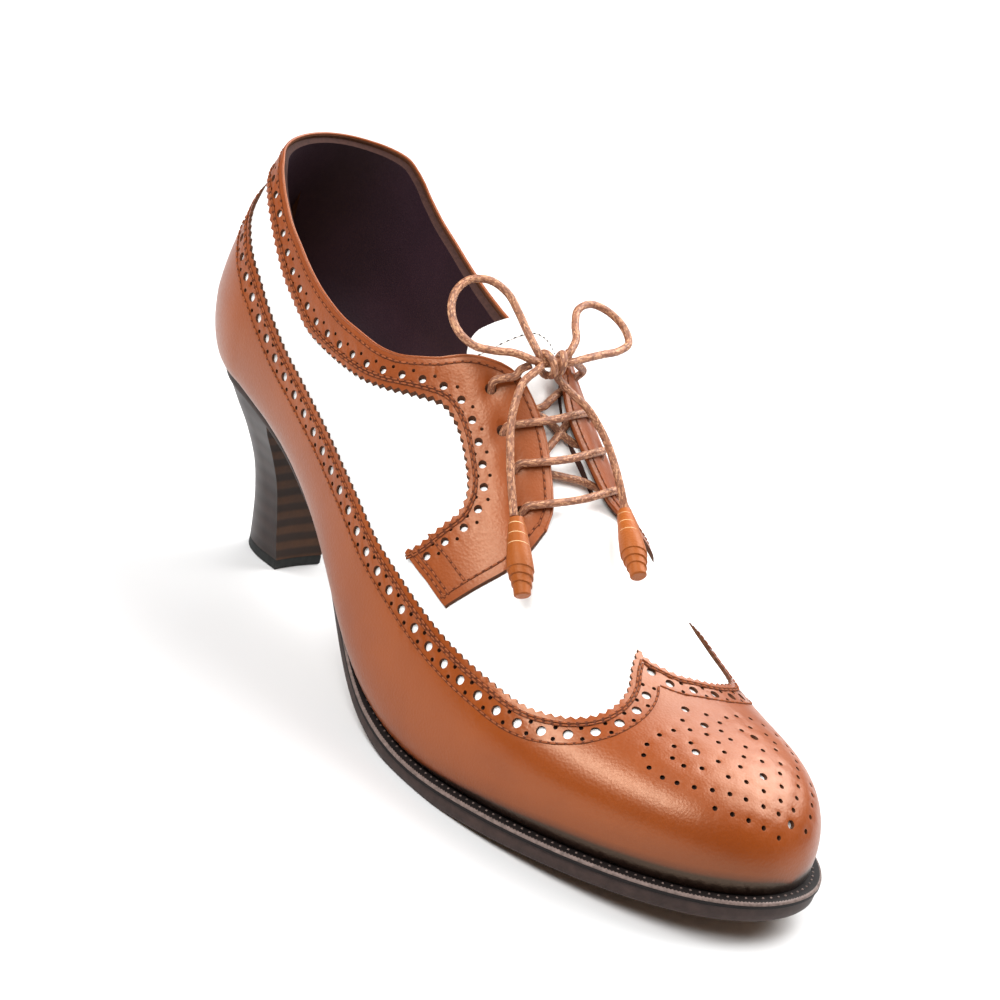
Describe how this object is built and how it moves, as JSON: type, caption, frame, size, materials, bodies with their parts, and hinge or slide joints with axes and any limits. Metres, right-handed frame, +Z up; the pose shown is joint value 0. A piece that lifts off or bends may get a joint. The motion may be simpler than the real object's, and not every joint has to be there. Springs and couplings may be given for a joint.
{
  "type": "lace-up longwing brogue shoe",
  "caption": "Right two-tone lace-up brogue on a high stacked heel: pale upper with tan long wing, collar band and facings, dark welted sole, round lace tied in a bow.",
  "frame": {"origin": "middle of the shoe's box in plan, on the floor that the heel and the forefoot stand on", "axes": "+X along the foot towards the toe, +Y towards the medial side, +Z up"},
  "size_m": [0.2316, 0.0812, 0.1208],
  "materials": {
    "white_leather": "smooth calf with a fine grain",
    "tongue_leather": "smooth calf",
    "tan_leather": "polished tan calf",
    "sock_leather": "plain natural sock leather",
    "dark_welt": "dark stained, wheeled and stitched",
    "dark_edge": "dark stained edge",
    "stacked_heel": "stacked lifts, dark stained and polished",
    "black_rubber": "matt",
    "waxed_lace": "round braid, waxed",
    "tip_leather": "rolled tan leather with raw edges"
  },
  "bodies": {
    "root": {"upper": "white_leather", "tongue": "tongue_leather", "wing_overlay": "tan_leather", "facing_lateral": "tan_leather", "facing_medial": "tan_leather", "insole": "sock_leather", "welt": "dark_welt", "outsole": "dark_edge", "heel_block": "stacked_heel", "heel_top_piece": "black_rubber", "lace_bar_2": "waxed_lace", "lace_bar_3": "waxed_lace", "lace_bar_4": "waxed_lace", "lace_lead_left": "waxed_lace", "lace_lead_right": "waxed_lace", "lace_loop_left": "waxed_lace", "lace_loop_right": "waxed_lace", "lace_end_left": "waxed_lace", "lace_end_right": "waxed_lace", "lace_knot": "waxed_lace", "lace_tip_left": "tip_leather", "lace_tip_right": "tip_leather"}
  },
  "joints": []
}
